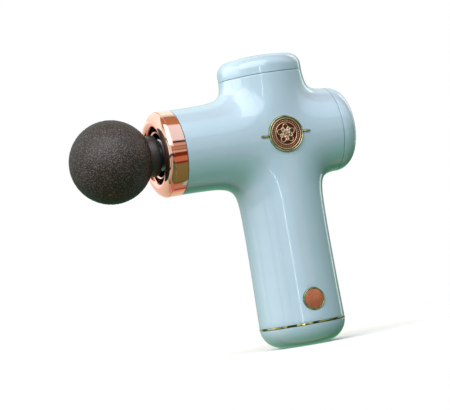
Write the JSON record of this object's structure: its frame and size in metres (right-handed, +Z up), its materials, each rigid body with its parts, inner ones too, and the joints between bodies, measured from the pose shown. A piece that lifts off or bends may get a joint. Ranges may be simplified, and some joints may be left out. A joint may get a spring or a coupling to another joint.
{
  "type": "massage gun",
  "caption": "Pocket-size cordless massage gun: cross-shaped glossy body, rose-gold nozzle ring and a foam ball head driven by a Scotch yoke.",
  "frame": {"origin": "centre of the flat under the bottom cap", "axes": "+Z up the handle; the barrel runs along X with the massage head towards -X; the power button and the medallion face -Y"},
  "size_m": [0.1645, 0.0493, 0.1639],
  "materials": {
    "body_gloss": "glossy painted shell, pale aqua",
    "rose_gold": "polished, rose-gold plated",
    "copper_brown": "satin, copper brown",
    "dark_plastic": "glossy charcoal plastic",
    "foam": "fine-grained charcoal foam",
    "black_rubber": "matte black rubber",
    "white_plastic": "acetal bearing sleeve",
    "steel": "turned steel",
    "aluminium": "machined",
    "brass": "machined",
    "copper_wire": "enamelled copper winding",
    "cell_wrap": "lithium cell in a green sleeve",
    "circuit_board": "green circuit board"
  },
  "bodies": {
    "housing": {"left_shell": "body_gloss", "right_shell": "body_gloss", "top_cap": "body_gloss", "rear_cap": "body_gloss", "bottom_cap": "body_gloss", "base_trim_ring": "rose_gold", "nozzle_ring": "rose_gold", "nozzle_lip": "rose_gold", "nozzle_seal": "black_rubber", "medallion_bezel": "copper_brown", "medallion_disc": "rose_gold", "accent_bar_front": "copper_brown", "accent_bar_rear": "copper_brown", "guide_carrier": "dark_plastic", "guide_bush": "white_plastic", "rear_guide_plate": "dark_plastic", "rear_bush": "brass", "motor_bracket": "aluminium", "motor_base": "aluminium", "motor_bearing_lower": "steel", "motor_bearing_upper": "steel", "stator_core": "steel", "motor_driver_board": "circuit_board", "battery_cell_1": "cell_wrap", "battery_cell_2": "cell_wrap", "battery_cradle_upper": "dark_plastic", "battery_cradle_lower": "dark_plastic", "battery_link": "steel", "control_board": "circuit_board", "charge_board": "circuit_board", "charge_port": "steel", "tact_switch": "dark_plastic", "button_bezel": "copper_brown", "stator_coil_1": "copper_wire", "stator_coil_2": "copper_wire", "stator_coil_3": "copper_wire", "stator_coil_4": "copper_wire", "stator_coil_5": "copper_wire", "stator_coil_6": "copper_wire", "motor_screw_1": "steel", "motor_screw_2": "steel", "motor_screw_3": "steel", "motor_screw_4": "steel"},
    "crank": {"motor_shaft": "steel", "rotor_bell": "steel", "magnet_ring": "dark_plastic", "crank_disc": "steel", "counterweight": "brass", "crank_circlip": "steel"},
    "roller": {"crank_roller": "steel"},
    "yoke_cover": {"grease_cover": "dark_plastic"},
    "plunger_unit": {"yoke": "aluminium", "tail_rod": "steel", "plunger": "aluminium", "plunger_cross_pin": "steel"},
    "massage_head": {"head_stem": "dark_plastic", "stem_o_ring_1": "black_rubber", "stem_o_ring_2": "black_rubber", "foam_ball": "foam"},
    "button": {"power_button": "rose_gold"}
  },
  "joints": [
    {"name": "motor_spin", "type": "hinge", "parent": "housing", "child": "crank", "pos_m": [0, 0, 0.117], "axis": [0, 0, 1], "continuous": true},
    {"name": "cover_turn", "type": "hinge", "parent": "crank", "child": "yoke_cover", "pos_m": [-0.00175, 0, 0.117], "axis": [0, 0, 1], "continuous": true},
    {"name": "plunger_stroke", "type": "hinge", "parent": "yoke_cover", "child": "plunger_unit", "pos_m": [-0.0035, 0, 0.117], "axis": [0, 0, 1], "continuous": true},
    {"name": "roller_turn", "type": "hinge", "parent": "crank", "child": "roller", "pos_m": [-0.0035, 0, 0.117], "axis": [0, 0, 1], "continuous": true},
    {"name": "head_pull_off", "type": "slide", "parent": "plunger_unit", "child": "massage_head", "axis": [-1, 0, 0], "range_m": [0, 0.03]},
    {"name": "button_press", "type": "slide", "parent": "housing", "child": "button", "axis": [0, 1, 0], "range_m": [0, 0.0006], "stiffness_N_per_m": 2000, "springref_m": -0.0003}
  ],
  "couplings": [
    {"joint": "cover_turn", "follows": "motor_spin", "ratio": -2},
    {"joint": "plunger_stroke", "follows": "motor_spin", "ratio": 1}
  ]
}
